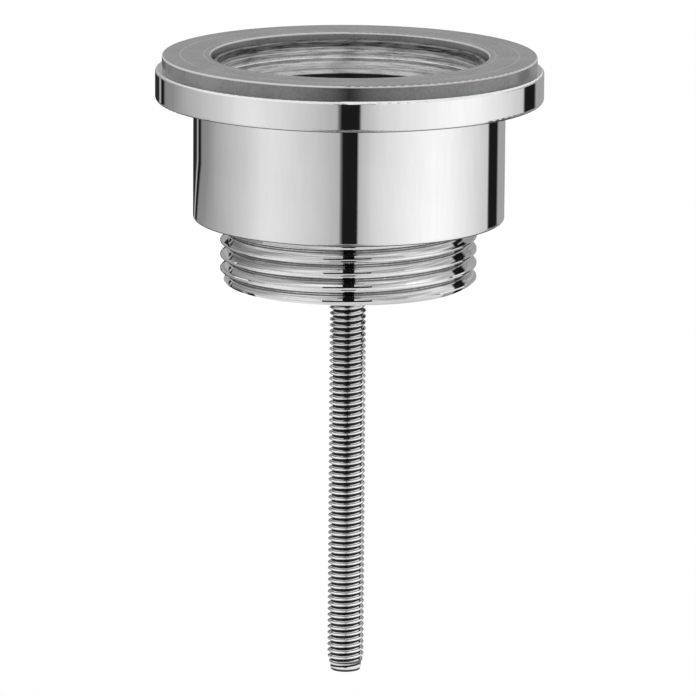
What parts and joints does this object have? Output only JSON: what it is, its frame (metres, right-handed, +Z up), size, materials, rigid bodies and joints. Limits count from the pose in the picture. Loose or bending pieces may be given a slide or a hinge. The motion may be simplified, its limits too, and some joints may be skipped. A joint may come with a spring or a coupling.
{
  "type": "sprung plug basin waste",
  "caption": "Chromed flanged basin waste: a sealing washer on top, a sprung push plug latched down inside, a pipe-threaded tail and a long stud below.",
  "frame": {"origin": "centre of the sealing washer's top face, which is pulled up against the basin", "axes": "+Z up into the basin along the axis of the bore; X and Y lie along the arms of the bridge in the tail"},
  "size_m": [0.0632, 0.0632, 0.1028],
  "materials": {
    "chrome": "polished plating on brass",
    "washer": "translucent grey, satin",
    "stud_steel": "zinc-plated, rolled thread",
    "stainless": "plain stainless",
    "brass": "machined",
    "acetal": "moulded, white",
    "black_rubber": "satin"
  },
  "bodies": {
    "waste": {"waste_cup": "chrome", "seat_washer": "washer", "fixing_stud": "stud_steel", "stud_lock_nut": "stud_steel", "seat_ring": "chrome", "seat_ring_seal": "black_rubber", "cartridge_body": "brass", "cartridge_cap": "brass", "stem_seal": "black_rubber", "plug_spring": "stainless"},
    "plug": {"plug_disc": "chrome", "plug_seal": "black_rubber", "seal_clamp_plate": "stainless", "plunger": "brass", "rotor_clip": "stainless"},
    "latch": {"latch_rotor": "acetal"}
  },
  "joints": [
    {"name": "plug_lift", "type": "slide", "parent": "waste", "child": "plug", "axis": [0, 0, 1], "range_m": [0, 0.008], "deforming": ["plug_spring"]},
    {"name": "latch_turn", "type": "hinge", "parent": "plug", "child": "latch", "pos_m": [0, 0, 0], "axis": [0, 0, 1], "range_deg": [0, 45]}
  ],
  "couplings": [
    {"joint": "latch_turn", "follows": "plug_lift", "rad_per_m": 98.175}
  ]
}
